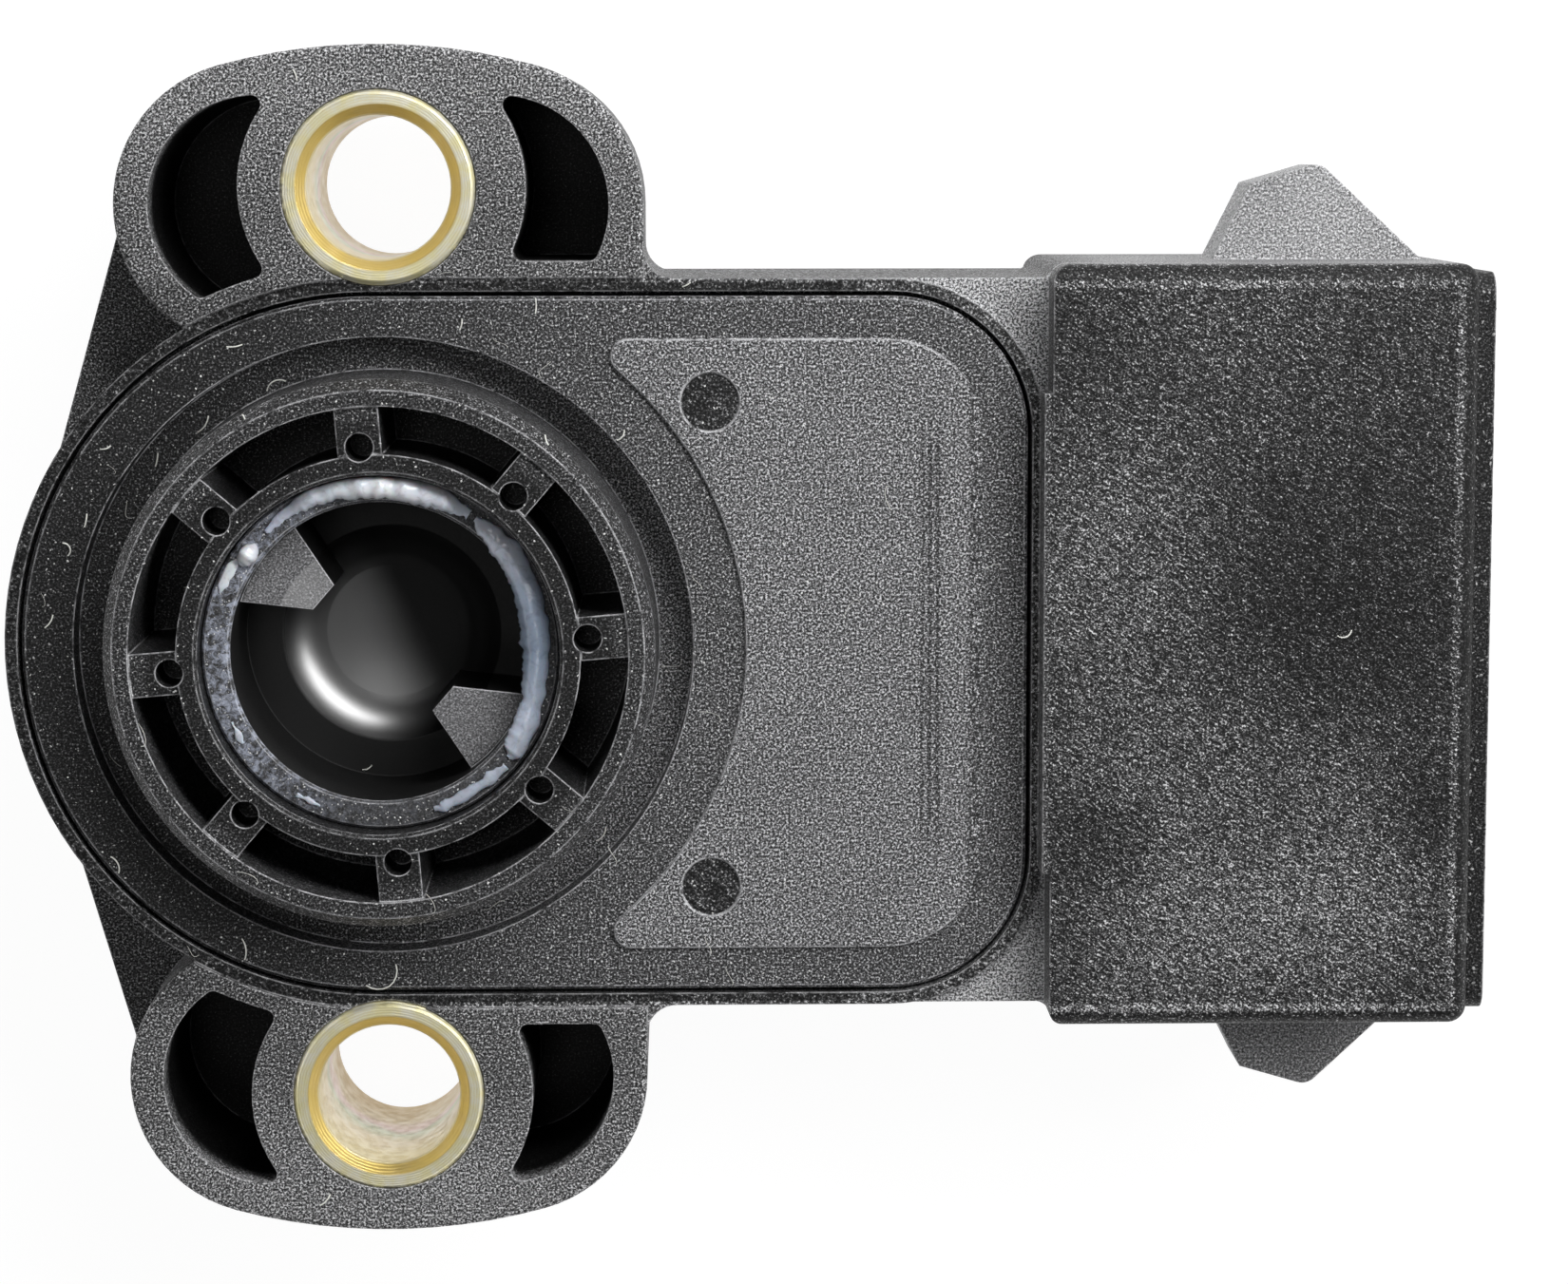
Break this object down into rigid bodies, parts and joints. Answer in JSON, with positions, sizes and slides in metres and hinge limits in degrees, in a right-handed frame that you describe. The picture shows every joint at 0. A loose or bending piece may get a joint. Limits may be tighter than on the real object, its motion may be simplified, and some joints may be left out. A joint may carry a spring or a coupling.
{
  "type": "throttle position sensor",
  "caption": "Rotary throttle position sensor: black moulded housing with fixing ears, metal bushings, a spring-returned drive rotor in a spoked pilot hub, and a boxed plug connector.",
  "frame": {"origin": "on the rotor's axis, in the mounting plane where the two bushings meet the throttle body", "axes": "+Z along the rotor's axis out of the mounting face, +X from the rotor to the connector's mouth, +Y from the lower to the upper fixing hole"},
  "size_m": [0.0651, 0.0522, 0.0181],
  "materials": {
    "housing_plastic": "glass-filled black moulding, fine grain",
    "cover_plastic": "glass-filled black moulding, satin",
    "rotor_plastic": "black moulding, semi-gloss, greased",
    "plated_bushing": "turned steel, yellow zinc plated",
    "seal_rubber": "matt black rubber",
    "spring_wire": "drawn spring wire",
    "board_ceramic": "matt white ceramic",
    "resistor_ink": "matt black printed resistor",
    "silver_ink": "printed silver",
    "contact_alloy": "bright spring alloy",
    "tinned_brass": "tin plated"
  },
  "bodies": {
    "housing": {"housing": "housing_plastic", "upper_bushing": "plated_bushing", "lower_bushing": "plated_bushing", "cover": "cover_plastic", "cover_seal": "seal_rubber", "return_spring": "spring_wire", "track_board": "board_ceramic", "resistor_track": "resistor_ink", "collector_track": "silver_ink", "supply_conductor": "silver_ink", "signal_conductor": "silver_ink", "ground_conductor": "silver_ink", "supply_terminal": "tinned_brass", "signal_terminal": "tinned_brass", "ground_terminal": "tinned_brass", "supply_contact": "contact_alloy", "signal_contact": "contact_alloy", "ground_contact": "contact_alloy"},
    "rotor": {"rotor": "rotor_plastic", "wiper": "contact_alloy"}
  },
  "joints": [
    {"name": "rotor_turn", "type": "hinge", "parent": "housing", "child": "rotor", "pos_m": [0, 0, 0], "axis": [0, 0, 1], "range_deg": [0, 95], "stiffness_Nm_per_rad": 0.01, "springref_deg": -28.65, "deforming": ["return_spring"]}
  ]
}
